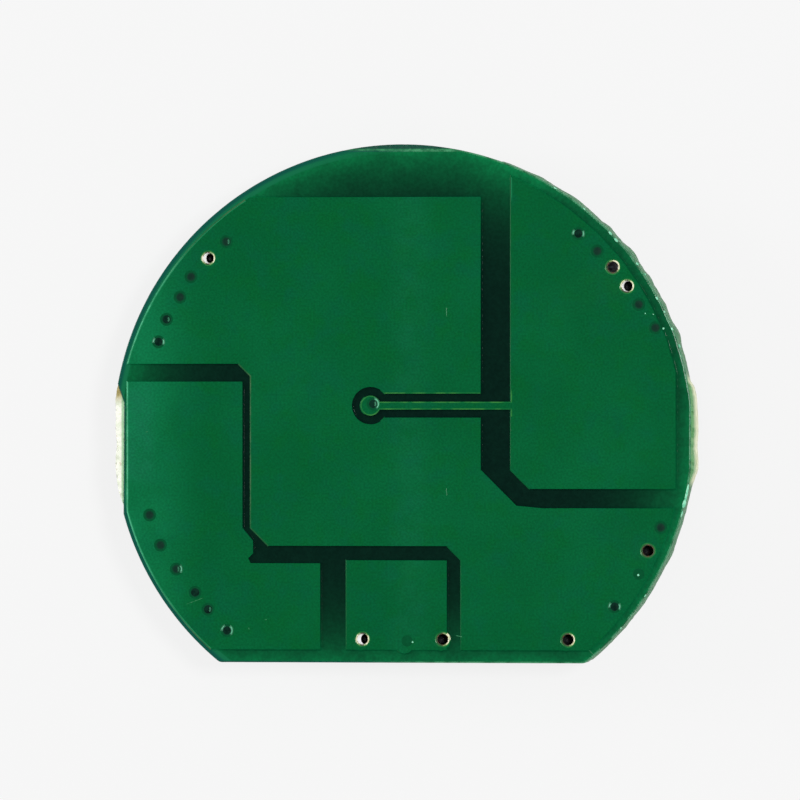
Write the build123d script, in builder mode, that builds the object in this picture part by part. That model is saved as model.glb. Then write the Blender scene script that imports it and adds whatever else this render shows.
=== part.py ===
from build123d import *
from math import atan2, cos, degrees, radians, sin
import os

# Battery protection board for the end of a round lithium cell, in millimetres.
# It lies with its track side up, on the flat tops of its power transistors. The origin is the
# centre of the round outline on the finished track side, and +Y points to the round top edge.

# Layers
laminate_thickness = 1.40
copper_thickness = 0.07
mask_thickness = 0.03
coat_thickness = 0.12

# Outline: a round board with a straight bottom edge, broken out of its panel at three tabs
board_radius = 13.00
bottom_cut = 2.91
bottom_corner_radius = 0.35
left_tab_cut = 0.47
right_tab_cut = 0.08
top_tab_cut = 0.27
# Each tab's broken edge: how far inside the round outline, and how far up from its centre
left_tab_mask_edge = [(0.21, 2.34), (0.50, 1.50), (left_tab_cut, -3.46)]
left_tab_break = [(0.21, 2.34), (0.09, 2.01), (0.10, 0.27), (0.15, -0.49), (0.09, -1.16),
                  (0.14, -2.19), (0.33, -2.73), (left_tab_cut, -3.12), (left_tab_cut, -3.46)]
right_tab_break = [(0.24, 2.46), (0.08, 2.17), (0.00, 1.68), (-0.05, 0.22), (-0.02, -0.55),
                   (-0.05, -0.98), (-0.05, -1.48), (0.08, -1.86), (0.24, -2.34)]

# Track-side copper, in the artwork's own place, which is printed a little low and left
artwork_shift_x = -0.09
artwork_shift_y = -0.09
copper_rim_gap = 0.32
copper_left_gap = 0.75
copper_right_gap = 0.66
copper_bottom_gap = 0.67
positive_top_y = 10.74
trunk_gap_x = 3.64
trunk_gap_width = 1.35
east_gap_y = -2.25
east_gap_width = 0.86
east_inner_knee = 0.84
east_outer_knee = 1.60
east_ramp_length = 1.15
east_ramp_rise = 0.11
west_gap_y = 3.32
west_gap_width = 0.80
west_knee = 0.55
narrow_gap_x = -6.69
narrow_gap_width = 0.37
south_gap_y = -4.80
south_knee = 0.80
south_flare = 0.22
south_left_gap = 0.78
tap_left_x = -2.38
tap_width = 4.50
tap_left_gap = 1.18
tap_right_gap = 0.64
tap_top_gap = 0.64
tap_knee = 0.62
sense_x = -1.30
sense_y = 1.45
sense_track_width = 0.35
sense_gap = 0.36
sense_pad_radius = 0.445

# Plated holes
via_radius = 0.25
plating = 0.025
via_sides = 6
opening_sides = 12
via_pad_radius = 0.42
via_opening_radius = 0.345
via_edge_distance = 1.06
via_ring_x = 0.20
via_ring_y = -0.03
upper_left_angles = [132.8, 138.1, 143.5, 148.4, 154.0, 159.1]
upper_right_angles = [49.8, 44.3, 39.2, 34.1, 29.7, 23.7]
lower_left_angles = [197.0, 203.8, 209.9, 216.4, 221.0, 227.2]
lower_right_angles = [-19.6, -25.0, -30.6, -39.3, -45.2]
bottom_row_distance = 1.05
bottom_row_x = [-1.75, 0.22, 1.85, 7.46]
bottom_row_dip = 0.13

# Part-side copper and its solder-coated terminal pads
pour_rim_gap = 1.10
land_gap = 0.35
pad_inner_reach = 0.80
pad_outer_reach = 0.55
pad_end_angle = 3.6
tap_pad_half_width = 2.60
tap_pad_height = 0.95
coat_margin = 0.12
coat_bevel = 0.06
drain_half_width = 4.40
drain_margin = 0.30
track_width = 0.25
upper_track_rise = 0.95
lower_track_drop = 1.10
link_drop = 0.55

# Power transistors, in eight-lead moulded packages
transistor_column_x = 3.90
transistor_upper_y = 5.20
transistor_lower_y = -4.60
transistor_width = 3.90
transistor_length = 4.90
transistor_height = 1.50
transistor_span = 6.00
transistor_pitch = 1.27
transistor_lead_width = 0.41
transistor_lead_thickness = 0.20
transistor_foot = 0.60
transistor_bevel = 0.28
transistor_side_count = 4

# Protection chip, in a six-lead moulded package
chip_x = 1.60
chip_y = 0.30
chip_width = 1.60
chip_length = 2.90
chip_height = 1.05
chip_span = 2.80
chip_pitch = 0.95
chip_lead_width = 0.38
chip_lead_thickness = 0.15
chip_foot = 0.40
chip_bevel = 0.12
chip_side_count = 3

# Both packages
standoff = 0.10
draft = 7
foot_pad_toe = 0.25
foot_pad_side = 0.10
solder_height = 0.14
solder_slope = 30

# Chip resistors and capacitors
passive_length = 1.60
passive_width = 0.80
resistor_height = 0.45
capacitor_height = 0.80
cap_band = 0.32
cap_plating = 0.03
passive_pad_toe = 0.25
passive_solder_height = 0.25
resistor_places = [(-4.15, 0.30, 90), (-3.00, 0.30, 90), (3.95, 0.30, 90)]
capacitor_places = [(-1.20, -1.05, 0), (-1.20, 0.20, 0)]

# Heights of the layers, down from the finished track side at zero
track_copper_top = -mask_thickness
laminate_top = track_copper_top - copper_thickness
laminate_bottom = laminate_top - laminate_thickness
part_copper_face = laminate_bottom - copper_thickness

bottom_edge_y = bottom_cut - board_radius
bottom_row_y = bottom_edge_y + bottom_row_distance
via_ring_radius = board_radius - via_edge_distance
drill_radius = via_radius + plating
beyond = 2 * board_radius


def ring_points(angles):
    """Places on the circle that the rim vias follow."""
    return [(via_ring_x + via_ring_radius * cos(radians(angle)),
             via_ring_y + via_ring_radius * sin(radians(angle))) for angle in angles]


upper_left_vias = ring_points(upper_left_angles)
upper_right_vias = ring_points(upper_right_angles)
lower_left_vias = ring_points(lower_left_angles)
lower_right_vias = ring_points(lower_right_angles) + [(bottom_row_x[3], bottom_row_y)]
tap_vias = [(bottom_row_x[0], bottom_row_y),
            (bottom_row_x[1], bottom_row_y - bottom_row_dip),
            (bottom_row_x[2], bottom_row_y)]
sense_via = [(sense_x, sense_y)]
positive_vias = upper_left_vias + lower_right_vias
all_vias = positive_vias + upper_right_vias + lower_left_vias + tap_vias + sense_via
open_vias = [upper_left_vias[1], upper_right_vias[3], lower_right_vias[1], lower_right_vias[5],
             tap_vias[0], tap_vias[2]]
bare_ring_vias = open_vias + [upper_right_vias[2]]
filled_vias = [via for via in all_vias if via not in open_vias]

os.makedirs("parts", exist_ok=True)


def save(part, name):
    """Label a finished piece and write it under its own name."""
    part.label = name
    export_step(part, f"parts/{name}.step")


# Outlines of the bare board and of the solder mask

with BuildSketch() as round_outline:
    Circle(board_radius)
    with Locations((0, bottom_edge_y)):
        Rectangle(beyond, beyond, align=(Align.CENTER, Align.MIN), mode=Mode.INTERSECT)
    fillet(round_outline.vertices().group_by(Axis.Y)[0], bottom_corner_radius)

left_break = [(depth - board_radius, height) for depth, height in left_tab_break]
right_break = [(board_radius - depth, height) for depth, height in right_tab_break]
left_mask_edge = [(depth - board_radius, height) for depth, height in left_tab_mask_edge]

with BuildSketch() as board_outline:
    add(round_outline.sketch)
    with BuildLine():
        Polyline(*left_break, (-beyond, left_break[-1][1]), (-beyond, left_break[0][1]), close=True)
    make_face(mode=Mode.SUBTRACT)
    with BuildLine():
        Polyline(*right_break, (0, 0), close=True)
    make_face()

with BuildSketch() as mask_outline:
    add(round_outline.sketch)
    with BuildLine():
        Polyline(*left_mask_edge, (-beyond, left_mask_edge[-1][1]), (-beyond, left_mask_edge[0][1]),
                 close=True)
    make_face(mode=Mode.SUBTRACT)
    with Locations((board_radius - right_tab_cut, 0)):
        Rectangle(beyond, beyond, align=(Align.MIN, Align.CENTER), mode=Mode.SUBTRACT)
    with Locations((0, board_radius - top_tab_cut)):
        Rectangle(beyond, beyond, align=(Align.CENTER, Align.MIN), mode=Mode.SUBTRACT)

# Laminate, drilled for every plated hole

with BuildPart() as laminate:
    with BuildSketch(Plane.XY.offset(laminate_bottom)):
        add(board_outline.sketch)
        with Locations(*all_vias):
            RegularPolygon(drill_radius, via_sides, mode=Mode.SUBTRACT)
    extrude(amount=laminate_thickness)
save(laminate.part, "laminate")

# Track-side copper: four islands parted by etched gaps

with BuildSketch() as artwork_area:
    Circle(board_radius - copper_rim_gap)
    with Locations((copper_left_gap - board_radius, bottom_edge_y + copper_bottom_gap)):
        Rectangle(2 * board_radius - copper_left_gap - copper_right_gap, beyond,
                  align=(Align.MIN, Align.MIN), mode=Mode.INTERSECT)

trunk_right_x = trunk_gap_x + trunk_gap_width
tap_right_x = tap_left_x + tap_width
tap_top_y = south_gap_y - tap_top_gap
negative_top_y = west_gap_y - west_gap_width
negative_right_x = narrow_gap_x - narrow_gap_width
negative_shelf_y = south_gap_y - south_left_gap

with BuildSketch() as positive_outline:
    with BuildLine():
        Polyline(
            (-beyond, positive_top_y),
            (trunk_gap_x, positive_top_y),
            (trunk_gap_x, east_gap_y - east_gap_width + east_ramp_rise + east_outer_knee),
            (trunk_gap_x + east_outer_knee, east_gap_y - east_gap_width + east_ramp_rise),
            (trunk_gap_x + east_outer_knee + east_ramp_length, east_gap_y - east_gap_width),
            (beyond, east_gap_y - east_gap_width),
            (beyond, -beyond),
            (tap_right_x + tap_right_gap, -beyond),
            (tap_right_x + tap_right_gap, south_gap_y - tap_knee),
            (tap_right_x + tap_right_gap - tap_knee, south_gap_y),
            (narrow_gap_x + south_knee, south_gap_y),
            (narrow_gap_x, south_gap_y + south_knee),
            (narrow_gap_x, west_gap_y - west_knee),
            (narrow_gap_x - west_knee, west_gap_y),
            (-beyond, west_gap_y),
            close=True,
        )
    make_face()
    add(artwork_area.sketch, mode=Mode.INTERSECT)
    with Locations((sense_x, sense_y)):
        Circle(sense_pad_radius + sense_gap + mask_thickness, mode=Mode.SUBTRACT)
        Rectangle(trunk_gap_x - sense_x + sense_pad_radius, sense_track_width + 2 * sense_gap,
                  align=(Align.MIN, Align.CENTER), mode=Mode.SUBTRACT)

with BuildSketch() as cell_negative_outline:
    with BuildLine():
        Polyline(
            (trunk_right_x, beyond),
            (trunk_right_x, east_gap_y + east_inner_knee),
            (trunk_right_x + east_inner_knee, east_gap_y),
            (beyond, east_gap_y),
            (beyond, beyond),
            close=True,
        )
    make_face()
    add(artwork_area.sketch, mode=Mode.INTERSECT)
    with Locations((sense_x, sense_y)):
        Circle(sense_pad_radius)
        Rectangle(trunk_right_x - sense_x + sense_pad_radius, sense_track_width,
                  align=(Align.MIN, Align.CENTER))

with BuildSketch() as pack_negative_outline:
    with BuildLine():
        Polyline(
            (-beyond, negative_top_y),
            (negative_right_x, negative_top_y),
            (negative_right_x, south_gap_y + south_knee),
            (narrow_gap_x + south_flare / 2, south_gap_y + south_flare),
            (narrow_gap_x + south_flare / 2, negative_shelf_y + 2 * south_flare),
            (narrow_gap_x - south_flare / 2, negative_shelf_y + south_flare),
            (narrow_gap_x, negative_shelf_y),
            (tap_left_x - tap_left_gap, negative_shelf_y),
            (tap_left_x - tap_left_gap, -beyond),
            (-beyond, -beyond),
            close=True,
        )
    make_face()
    add(artwork_area.sketch, mode=Mode.INTERSECT)

with BuildSketch() as mid_tap_outline:
    with Locations((tap_left_x, tap_top_y)):
        Rectangle(tap_width, beyond, align=(Align.MIN, Align.MAX))
    add(artwork_area.sketch, mode=Mode.INTERSECT)


def shifted(outline, vias):
    """An island's outline moved to where the artwork printed it, with its via pads."""
    with BuildSketch() as placed:
        with Locations((artwork_shift_x, artwork_shift_y)):
            add(outline.sketch)
            with Locations(*vias):
                RegularPolygon(via_pad_radius, opening_sides)
    return placed.sketch


track_islands = {
    "positive_pour": (shifted(positive_outline, positive_vias), positive_vias),
    "cell_negative_pour": (shifted(cell_negative_outline, upper_right_vias),
                           upper_right_vias + sense_via),
    "pack_negative_pour": (shifted(pack_negative_outline, lower_left_vias), lower_left_vias),
    "mid_tap_pour": (shifted(mid_tap_outline, tap_vias), tap_vias),
}

for name, (outline, vias) in track_islands.items():
    with BuildPart() as pour:
        with BuildSketch(Plane.XY.offset(laminate_top)):
            add(outline)
            with Locations(*vias):
                RegularPolygon(drill_radius, via_sides, mode=Mode.SUBTRACT)
        extrude(amount=copper_thickness)
    save(pour.part, name)

# Solder mask of the track side: a thin coat that follows the copper up and down

with BuildPart() as track_side_mask:
    with BuildSketch(Plane.XY.offset(laminate_top)):
        add(mask_outline.sketch)
    extrude(amount=mask_thickness)
    for outline, vias in track_islands.values():
        with BuildSketch(Plane.XY.offset(laminate_top)):
            add(outline)
            offset(amount=mask_thickness, kind=Kind.INTERSECTION)
        extrude(amount=copper_thickness + mask_thickness)
    with BuildSketch(Plane.XY.offset(laminate_top)):
        for outline, vias in track_islands.values():
            add(outline)
    extrude(amount=copper_thickness, mode=Mode.SUBTRACT)
    with BuildSketch(Plane.XY.offset(laminate_top)):
        with Locations(*bare_ring_vias):
            RegularPolygon(via_opening_radius, opening_sides)
    extrude(amount=copper_thickness + mask_thickness, mode=Mode.SUBTRACT)
save(track_side_mask.part, "track_side_mask")

# Plated barrels of the vias, one group for each net, and the resin that fills most of them

barrel_groups = {
    "positive_barrels": positive_vias,
    "cell_negative_barrels": upper_right_vias,
    "pack_negative_barrels": lower_left_vias,
    "mid_tap_barrels": tap_vias,
    "sense_barrel": sense_via,
}

for name, vias in barrel_groups.items():
    with BuildPart() as barrels:
        with BuildSketch(Plane.XY.offset(laminate_bottom)):
            with Locations(*vias):
                RegularPolygon(drill_radius, via_sides)
                RegularPolygon(via_radius, via_sides, mode=Mode.SUBTRACT)
        extrude(amount=track_copper_top - laminate_bottom)
    save(barrels.part, name)

with BuildPart() as via_plugs:
    with BuildSketch(Plane.XY.offset(laminate_bottom)):
        with Locations(*filled_vias):
            RegularPolygon(via_radius, via_sides)
    extrude(amount=track_copper_top - laminate_bottom)
save(via_plugs.part, "via_plugs")

# Moulded packages, drawn on the part-side copper at height zero and hanging below it


def gull_wing_leads(body, width, height, span, thickness, lead_width, foot, pitch, count):
    """Two rows of bent leads, from the body's side out to feet on the copper."""
    parting = -standoff - height / 2
    shoulder = width / 2 + (span / 2 - foot - width / 2) / 2
    foot_start = span / 2 - foot
    with BuildPart() as leads:
        with BuildSketch(Plane.XZ):
            with BuildLine():
                Polyline(
                    (width / 2, parting),
                    (shoulder, parting),
                    (foot_start, -thickness / 2),
                    (span / 2, -thickness / 2),
                )
            trace(line_width=thickness)
        extrude(amount=lead_width / 2, both=True)
    with BuildPart() as rows:
        with GridLocations(0, pitch, 1, count):
            add(leads.part)
        mirror(about=Plane.YZ)
        add(body, mode=Mode.SUBTRACT)
    return rows.part


def moulded_body(width, length, height, band, bevel):
    """Body with draft above and below the band its leads come out of, and one bevelled edge."""
    parting = -standoff - height / 2
    with BuildPart() as body:
        with BuildSketch(Plane.XY.offset(parting)):
            Rectangle(width, length)
        extrude(amount=band / 2, both=True)
        for level, direction in ((parting + band / 2, 1), (parting - band / 2, -1)):
            with BuildSketch(Plane.XY.offset(level)):
                Rectangle(width, length)
            extrude(amount=direction * (height - band) / 2, taper=draft)
        outer_face = body.faces().sort_by(Axis.Z)[0]
        chamfer(outer_face.edges().sort_by(Axis.X)[-1], bevel)
    return body.part


def foot_pads(side, span, lead_width, foot, pitch, count):
    """Bare copper under one row of feet, as a flat sketch."""
    with BuildSketch() as pads:
        with Locations((side * (span - foot) / 2, 0)):
            with GridLocations(0, pitch, 1, count):
                Rectangle(foot + 2 * foot_pad_toe, lead_width + 2 * foot_pad_side)
    return pads.sketch


def solder_on(pads, height, *device):
    """Solder that wets each pad and climbs what stands on it."""
    with BuildPart() as solder:
        with BuildSketch(Plane.XY):
            add(pads)
        extrude(amount=-height, taper=solder_slope)
        add(device, mode=Mode.SUBTRACT)
    return solder.part


transistor_body = moulded_body(transistor_width, transistor_length, transistor_height,
                               transistor_lead_thickness, transistor_bevel)
transistor_leads = gull_wing_leads(transistor_body, transistor_width, transistor_height,
                                   transistor_span, transistor_lead_thickness,
                                   transistor_lead_width, transistor_foot, transistor_pitch,
                                   transistor_side_count)
transistor_row_length = (transistor_side_count - 1) * transistor_pitch + transistor_lead_width
transistor_pads = (
    foot_pads(1, transistor_span, transistor_lead_width, transistor_foot,
              transistor_pitch, transistor_side_count)
    + foot_pads(-1, transistor_span, transistor_row_length, transistor_foot, 0, 1)
)
transistor_solder = solder_on(transistor_pads, solder_height, transistor_leads, transistor_body)

chip_body = moulded_body(chip_width, chip_length, chip_height, chip_lead_thickness, chip_bevel)
chip_leads = gull_wing_leads(chip_body, chip_width, chip_height, chip_span, chip_lead_thickness,
                             chip_lead_width, chip_foot, chip_pitch, chip_side_count)
chip_pads = (
    foot_pads(1, chip_span, chip_lead_width, chip_foot, chip_pitch, chip_side_count)
    + foot_pads(-1, chip_span, chip_lead_width, chip_foot, chip_pitch, chip_side_count)
)
chip_solder = solder_on(chip_pads, solder_height, chip_leads, chip_body)

# The source side of each transistor faces the rim, so the left column is turned half round
transistor_places = {
    "upper_right": Location((transistor_column_x, transistor_upper_y, part_copper_face), (0, 0, 0)),
    "lower_right": Location((transistor_column_x, transistor_lower_y, part_copper_face), (0, 0, 0)),
    "upper_left": Location((-transistor_column_x, transistor_upper_y, part_copper_face), (0, 0, 180)),
    "lower_left": Location((-transistor_column_x, transistor_lower_y, part_copper_face), (0, 0, 180)),
}

for name, place in transistor_places.items():
    with BuildPart() as body:
        with Locations(place):
            add(transistor_body)
    save(body.part, f"{name}_transistor_body")
    with BuildPart() as leads:
        with Locations(place):
            add(transistor_leads)
    save(leads.part, f"{name}_transistor_leads")

chip_place = Location((chip_x, chip_y, part_copper_face))
with BuildPart() as protection_chip_body:
    with Locations(chip_place):
        add(chip_body)
save(protection_chip_body.part, "protection_chip_body")
with BuildPart() as protection_chip_leads:
    with Locations(chip_place):
        add(chip_leads)
save(protection_chip_leads.part, "protection_chip_leads")

# Chip resistors and capacitors


def passive_core(height):
    """Ceramic block between and inside the end caps."""
    with BuildPart() as core:
        with BuildSketch(Plane.XY.offset(-cap_plating)):
            Rectangle(passive_length - 2 * cap_plating, passive_width - 2 * cap_plating)
        extrude(amount=-(height - 2 * cap_plating))
    return core.part


def passive_caps(height, core):
    """Metal caps that wrap both ends of the block."""
    with BuildPart() as caps:
        with BuildSketch():
            with GridLocations(passive_length - cap_band, 0, 2, 1):
                Rectangle(cap_band, passive_width)
        extrude(amount=-height)
        add(core, mode=Mode.SUBTRACT)
    return caps.part


with BuildSketch() as passive_pads:
    with GridLocations(passive_length + passive_pad_toe - cap_band, 0, 2, 1):
        Rectangle(cap_band + passive_pad_toe, passive_width)

resistor_core = passive_core(resistor_height)
resistor_caps = passive_caps(resistor_height, resistor_core)
resistor_solder = solder_on(passive_pads.sketch, passive_solder_height, resistor_caps,
                            resistor_core)
capacitor_core = passive_core(capacitor_height)
capacitor_caps = passive_caps(capacitor_height, capacitor_core)
capacitor_solder = solder_on(passive_pads.sketch, passive_solder_height, capacitor_caps,
                             capacitor_core)

resistor_spots = [Location((x, y, part_copper_face), (0, 0, turn)) for x, y, turn in resistor_places]
capacitor_spots = [Location((x, y, part_copper_face), (0, 0, turn)) for x, y, turn in capacitor_places]

for kind, spots, core, caps in (("resistor", resistor_spots, resistor_core, resistor_caps),
                                ("capacitor", capacitor_spots, capacitor_core, capacitor_caps)):
    for number, spot in enumerate(spots, 1):
        with BuildPart() as block:
            with Locations(spot):
                add(core)
        save(block.part, f"{kind}_{number}_body")
        with BuildPart() as ends:
            with Locations(spot):
                add(caps)
        save(ends.part, f"{kind}_{number}_caps")

# Solder joints, one group for each kind of device

with BuildPart() as transistor_solder_joints:
    with Locations(*transistor_places.values()):
        add(transistor_solder)
save(transistor_solder_joints.part, "transistor_solder_joints")

with BuildPart() as chip_solder_joints:
    with Locations(chip_place):
        add(chip_solder)
save(chip_solder_joints.part, "chip_solder_joints")

with BuildPart() as passive_solder_joints:
    with Locations(*resistor_spots):
        add(resistor_solder)
    with Locations(*capacitor_spots):
        add(capacitor_solder)
save(passive_solder_joints.part, "passive_solder_joints")

# Part-side copper: terminal lands along the rim, two drain lands, and fine tracks

source_side_x = transistor_column_x + transistor_span / 2 - transistor_foot
source_edge_x = source_side_x - foot_pad_toe - coat_margin
lead_row = [transistor_pitch * (index - (transistor_side_count - 1) / 2)
            for index in range(transistor_side_count)]
gate_row_x = transistor_column_x + (transistor_span - transistor_foot) / 2
right_gates = [(gate_row_x, transistor_upper_y + lead_row[0]),
               (gate_row_x, transistor_lower_y + lead_row[0])]
left_gates = [(-gate_row_x, transistor_upper_y + lead_row[-1]),
              (-gate_row_x, transistor_lower_y + lead_row[-1])]
gate_pad_length = transistor_foot + 2 * foot_pad_toe
gate_pad_width = transistor_lead_width + 2 * foot_pad_side
gate_bus_x = (drain_half_width + source_edge_x) / 2


with BuildSketch() as gate_slots:
    with Locations(*right_gates, *left_gates):
        Rectangle(gate_pad_length + 2 * land_gap, gate_pad_width + 2 * coat_margin)


def rim_sector(vias):
    """Stretch of the rim that holds a row of vias, as a flat sketch."""
    angles = [degrees(atan2(y - via_ring_y, x - via_ring_x)) for x, y in vias]
    middle = (min(angles) + max(angles)) / 2
    half = radians((max(angles) - min(angles)) / 2 + pad_end_angle)
    with BuildSketch() as sector:
        with Locations((via_ring_x, via_ring_y)):
            Circle(via_ring_radius + pad_outer_reach)
            Circle(via_ring_radius - pad_inner_reach, mode=Mode.SUBTRACT)
        with BuildLine(Plane.XY * Location((via_ring_x, via_ring_y, 0), (0, 0, middle))):
            Polyline((0, 0), (beyond * cos(half), beyond * sin(half)),
                     (beyond * cos(half), -beyond * sin(half)), close=True)
        make_face(mode=Mode.INTERSECT)
        with Locations((0, bottom_edge_y + copper_bottom_gap)):
            Rectangle(2 * beyond, 2 * beyond, align=(Align.CENTER, Align.MIN), mode=Mode.INTERSECT)
        add(gate_slots.sketch, mode=Mode.SUBTRACT)
    return sector.sketch


terminal_pads = {
    "pack_positive": rim_sector(upper_left_vias),
    "cell_positive": rim_sector(lower_right_vias),
    "cell_negative": rim_sector(upper_right_vias),
    "pack_negative": rim_sector(lower_left_vias),
}
with BuildSketch() as tap_pad:
    with Locations((0, bottom_edge_y + copper_bottom_gap)):
        Rectangle(2 * tap_pad_half_width, tap_pad_height, align=(Align.CENTER, Align.MIN))
terminal_pads["mid_tap"] = tap_pad.sketch

pour_radius = board_radius - pour_rim_gap
pour_bottom_y = bottom_edge_y + copper_bottom_gap
slot_half_width = gate_pad_width / 2 + coat_margin
side_top_y = transistor_upper_y + lead_row[-1] + slot_half_width
side_bottom_y = transistor_lower_y + lead_row[0] - slot_half_width


def side_land(side, pad, other_pad):
    """Pour that joins one column's source feet to its terminal pad on the rim."""
    with BuildSketch() as land:
        Circle(pour_radius)
        with Locations((side * source_edge_x, side_bottom_y)):
            Rectangle(beyond, side_top_y - side_bottom_y,
                      align=(Align.MIN if side > 0 else Align.MAX, Align.MIN),
                      mode=Mode.INTERSECT)
        add(pad)
        with BuildSketch(mode=Mode.PRIVATE) as neighbour:
            add(other_pad)
            offset(amount=land_gap)
        add(neighbour.sketch, mode=Mode.SUBTRACT)
        add(gate_slots.sketch, mode=Mode.SUBTRACT)
    return land.sketch


with BuildSketch() as upper_drain:
    with Locations((0, transistor_upper_y - transistor_length / 2 - drain_margin + land_gap)):
        Rectangle(2 * drain_half_width, beyond, align=(Align.CENTER, Align.MIN))
    Circle(pour_radius, mode=Mode.INTERSECT)

with BuildSketch() as lower_drain:
    with Locations((0, pour_bottom_y + tap_pad_height + land_gap)):
        Rectangle(2 * drain_half_width,
                  transistor_lower_y + transistor_length / 2 + drain_margin - land_gap
                  - pour_bottom_y - tap_pad_height - land_gap,
                  align=(Align.CENTER, Align.MIN))

chip_left_x = chip_x - (chip_span - chip_foot) / 2
chip_right_x = chip_x + (chip_span - chip_foot) / 2
passive_reach = (passive_length + passive_pad_toe - cap_band) / 2
upper_track_y = chip_y + chip_pitch + upper_track_rise
lower_track_y = chip_y - chip_pitch - lower_track_drop


def pad_place(place, end):
    """Middle of one end pad of a chip resistor or capacitor."""
    x, y, turn = place
    return (x + end * passive_reach * cos(radians(turn)), y + end * passive_reach * sin(radians(turn)))


capacitor_left = [pad_place(place, -1) for place in capacitor_places]
capacitor_right = [pad_place(place, 1) for place in capacitor_places]
supply_end = pad_place(resistor_places[0], -1)
return_end = pad_place(resistor_places[2], -1)

track_paths = [
    [(-gate_bus_x, left_gates[1][1]), (-gate_bus_x, left_gates[0][1])],
    [(gate_bus_x, right_gates[1][1]), (gate_bus_x, right_gates[0][1])],
    [left_gates[0], (-gate_bus_x, left_gates[0][1])],
    [left_gates[1], (-gate_bus_x, left_gates[1][1])],
    [right_gates[0], (gate_bus_x, right_gates[0][1])],
    [right_gates[1], (gate_bus_x, right_gates[1][1])],
    [(-gate_bus_x, upper_track_y), (chip_left_x, upper_track_y), (chip_left_x, chip_y + chip_pitch)],
    [(gate_bus_x, upper_track_y), (chip_right_x, upper_track_y), (chip_right_x, chip_y + chip_pitch)],
    [(sense_x, sense_y), (capacitor_left[1][0], sense_y - link_drop), capacitor_left[1],
     capacitor_left[0]],
    [capacitor_right[1], (chip_left_x, chip_y)],
    [capacitor_right[0], (chip_left_x, chip_y - chip_pitch)],
    [supply_end, (supply_end[0], lower_track_y), (chip_left_x, lower_track_y),
     (chip_left_x, chip_y - chip_pitch)],
    [return_end, (chip_right_x, chip_y - chip_pitch)],
]

with BuildSketch() as signal_outline:
    with Locations(*right_gates, *left_gates):
        Rectangle(gate_pad_length, gate_pad_width)
    with Locations((chip_x, chip_y)):
        add(chip_pads)
    with Locations(*[Location((x, y, 0), (0, 0, turn)) for x, y, turn in
                     resistor_places + capacitor_places]):
        add(passive_pads.sketch)
    with Locations((sense_x, sense_y)):
        RegularPolygon(via_pad_radius, opening_sides)
    for path in track_paths:
        with BuildLine():
            Polyline(*path)
        trace(line_width=track_width)

part_lands = {
    "pack_positive_land": terminal_pads["pack_positive"],
    "cell_positive_land": terminal_pads["cell_positive"],
    "cell_negative_land": side_land(1, terminal_pads["cell_negative"],
                                    terminal_pads["cell_positive"]),
    "pack_negative_land": side_land(-1, terminal_pads["pack_negative"],
                                    terminal_pads["pack_positive"]),
    "mid_tap_land": terminal_pads["mid_tap"],
    "upper_drain_land": upper_drain.sketch,
    "lower_drain_land": lower_drain.sketch,
    "signal_tracks": signal_outline.sketch,
}

for name, outline in part_lands.items():
    with BuildPart() as land:
        with BuildSketch(Plane.XY.offset(part_copper_face)):
            add(outline)
        extrude(amount=copper_thickness)
    save(land.part, name)

# Solder coat on each terminal pad, level with no mask over it

coat_outlines = {}
for name, pad in terminal_pads.items():
    with BuildSketch() as coat_outline:
        add(pad)
        offset(amount=-coat_margin)
    coat_outlines[name] = coat_outline.sketch
    with BuildPart() as coat:
        with BuildSketch(Plane.XY.offset(part_copper_face)):
            add(coat_outline.sketch)
        extrude(amount=-coat_thickness)
        chamfer(coat.faces().sort_by(Axis.Z)[0].edges(), coat_bevel)
    save(coat.part, f"{name}_solder_coat")

# Solder mask of the part side: level between the lands, and open at every soldered pad

with BuildSketch() as soldered_areas:
    for outline in coat_outlines.values():
        add(outline)
    for place in transistor_places.values():
        with Locations(Location((place.position.X, place.position.Y, 0), place.orientation)):
            add(transistor_pads)
    with Locations((chip_x, chip_y)):
        add(chip_pads)
    with Locations(*[Location((x, y, 0), (0, 0, turn)) for x, y, turn in
                     resistor_places + capacitor_places]):
        add(passive_pads.sketch)

with BuildPart() as part_side_mask:
    with BuildSketch(Plane.XY.offset(laminate_bottom)):
        add(mask_outline.sketch)
    extrude(amount=-copper_thickness - mask_thickness)
    with BuildSketch(Plane.XY.offset(laminate_bottom)):
        for outline in part_lands.values():
            add(outline)
    extrude(amount=-copper_thickness, mode=Mode.SUBTRACT)
    with BuildSketch(Plane.XY.offset(laminate_bottom)):
        add(soldered_areas.sketch)
    extrude(amount=-copper_thickness - mask_thickness, mode=Mode.SUBTRACT)
save(part_side_mask.part, "part_side_mask")
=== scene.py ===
import math

import bpy
import numpy as np
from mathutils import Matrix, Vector, noise
from mathutils.geometry import delaunay_2d_cdt


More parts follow.
